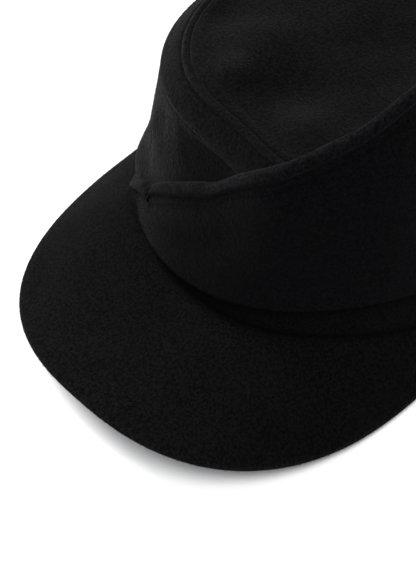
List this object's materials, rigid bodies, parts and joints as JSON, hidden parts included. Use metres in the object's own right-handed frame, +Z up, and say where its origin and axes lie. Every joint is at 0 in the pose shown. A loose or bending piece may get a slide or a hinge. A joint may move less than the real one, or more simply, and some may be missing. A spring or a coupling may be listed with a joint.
{
  "type": "military cap",
  "caption": "Soft wool field cap with a wide rounded peak, an ear flap folded up round its wall, and a soft top panel sewn inside a rolled rim.",
  "frame": {"origin": "on the surface that the cap lies on, under the middle of its bounding box", "axes": "+Z up, the peak points to -Y, the wearer's left is +X"},
  "size_m": [0.1872, 0.2638, 0.1361],
  "materials": {
    "crown_cloth": "matte brushed wool",
    "turn_up_cloth": "matte brushed wool",
    "peak_cloth": "matte brushed wool"
  },
  "bodies": {
    "root": {"crown_wall": "crown_cloth", "crown_rim": "crown_cloth", "crown_top": "crown_cloth", "turn_up": "turn_up_cloth", "peak": "peak_cloth"}
  },
  "joints": []
}
